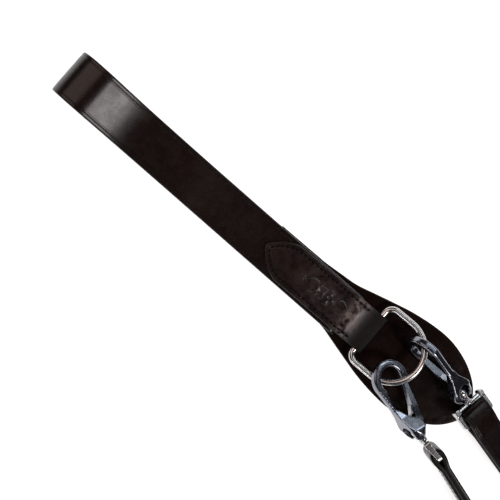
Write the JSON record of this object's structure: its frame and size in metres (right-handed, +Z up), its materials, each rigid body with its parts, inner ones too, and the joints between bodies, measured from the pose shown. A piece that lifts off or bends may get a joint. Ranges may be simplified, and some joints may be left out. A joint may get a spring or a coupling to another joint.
{
  "type": "martingale",
  "caption": "Girth end of a leather martingale: folded girth loop, spade-shaped chest pad with a dee ring, and two fork arms on swivel snap hooks ending in rein rings.",
  "frame": {"origin": "on the resting underside of the chest pad, straight below the middle of the dee ring's bar", "axes": "+X along the girth strap from the girth loop to the chest pad's tip, +Z up from the resting underside"},
  "size_m": [0.6008, 0.2148, 0.0429],
  "materials": {
    "leather": "dark brown bridle leather, waxed",
    "thread": "waxed dark red-brown thread",
    "nickel": "polished nickel plate",
    "spring_steel": "spring steel"
  },
  "bodies": {
    "girth_strap": {"chest_pad": "leather", "girth_loop_strap": "leather", "ring_chape": "leather", "chape_stitching": "thread"},
    "dee_ring": {"dee_ring": "nickel"},
    "left_snap": {"left_snap_body": "nickel", "left_gate_pin": "nickel", "left_gate_spring": "spring_steel"},
    "left_gate": {"left_gate": "nickel"},
    "left_swivel": {"left_swivel_eye": "nickel"},
    "left_arm": {"left_arm_strap": "leather", "left_eye_end_stitching": "thread", "left_ring_end_stitching": "thread"},
    "left_rein_ring": {"left_rein_ring": "nickel"},
    "right_snap": {"right_snap_body": "nickel", "right_gate_pin": "nickel", "right_gate_spring": "spring_steel"},
    "right_gate": {"right_gate": "nickel"},
    "right_swivel": {"right_swivel_eye": "nickel"},
    "right_arm": {"right_arm_strap": "leather", "right_eye_end_stitching": "thread", "right_ring_end_stitching": "thread"},
    "right_rein_ring": {"right_rein_ring": "nickel"}
  },
  "joints": [
    {"name": "ring_swing", "type": "hinge", "parent": "girth_strap", "child": "dee_ring", "pos_m": [0, 0, 0.0086], "axis": [0, -1, 0], "range_deg": [0, 100]},
    {"name": "left_snap_swing", "type": "hinge", "parent": "dee_ring", "child": "left_snap", "pos_m": [0.03678, -0.01989, 0.01709], "axis": [-0.7354, -0.6561, -0.1698], "range_deg": [0, 14]},
    {"name": "left_gate_open", "type": "hinge", "parent": "left_snap", "child": "left_gate", "pos_m": [0.07157, -0.02785, 0.01376], "axis": [0.1719, 0.3686, 0.9135], "range_deg": [0, 22], "stiffness_Nm_per_rad": 0.03, "springref_deg": -11.46, "deforming": ["left_gate_spring"]},
    {"name": "left_swivel", "type": "hinge", "parent": "left_snap", "child": "left_swivel", "pos_m": [0.0765, -0.0362, 0.0162], "axis": [0.9877, -0.1564, 0], "range_deg": [-45, 45]},
    {"name": "left_arm_swing", "type": "hinge", "parent": "left_swivel", "child": "left_arm", "pos_m": [0.09872, -0.03972, 0.0162], "axis": [0, 0, 1], "range_deg": [-50, 12]},
    {"name": "left_rein_ring_swing", "type": "hinge", "parent": "left_arm", "child": "left_rein_ring", "pos_m": [0.1914, -0.147, 0.0203], "axis": [0, 0, 1], "range_deg": [-100, 50]},
    {"name": "right_snap_swing", "type": "hinge", "parent": "dee_ring", "child": "right_snap", "pos_m": [0.04168, 0.0142, 0.01822], "axis": [0.5307, -0.8387, 0.1225], "range_deg": [0, 30]},
    {"name": "right_gate_open", "type": "hinge", "parent": "right_snap", "child": "right_gate", "pos_m": [0.0763, 0.00845, 0.00881], "axis": [0.0633, 0.9382, -0.3402], "range_deg": [0, 22], "stiffness_Nm_per_rad": 0.03, "springref_deg": -11.46, "deforming": ["right_gate_spring"]},
    {"name": "right_swivel", "type": "hinge", "parent": "right_snap", "child": "right_swivel", "pos_m": [0.085, 0.0096, 0.0136], "axis": [0.9703, -0.2419, 0], "range_deg": [-10, 40]},
    {"name": "right_arm_swing", "type": "hinge", "parent": "right_swivel", "child": "right_arm", "pos_m": [0.10683, 0.00416, 0.0136], "axis": [-0.2273, -0.9118, 0.342], "range_deg": [0, 50]},
    {"name": "right_rein_ring_swing", "type": "hinge", "parent": "right_arm", "child": "right_rein_ring", "pos_m": [0.25659, 0.04262, 0.0203], "axis": [0, 0, 1], "range_deg": [-50, 100]}
  ]
}
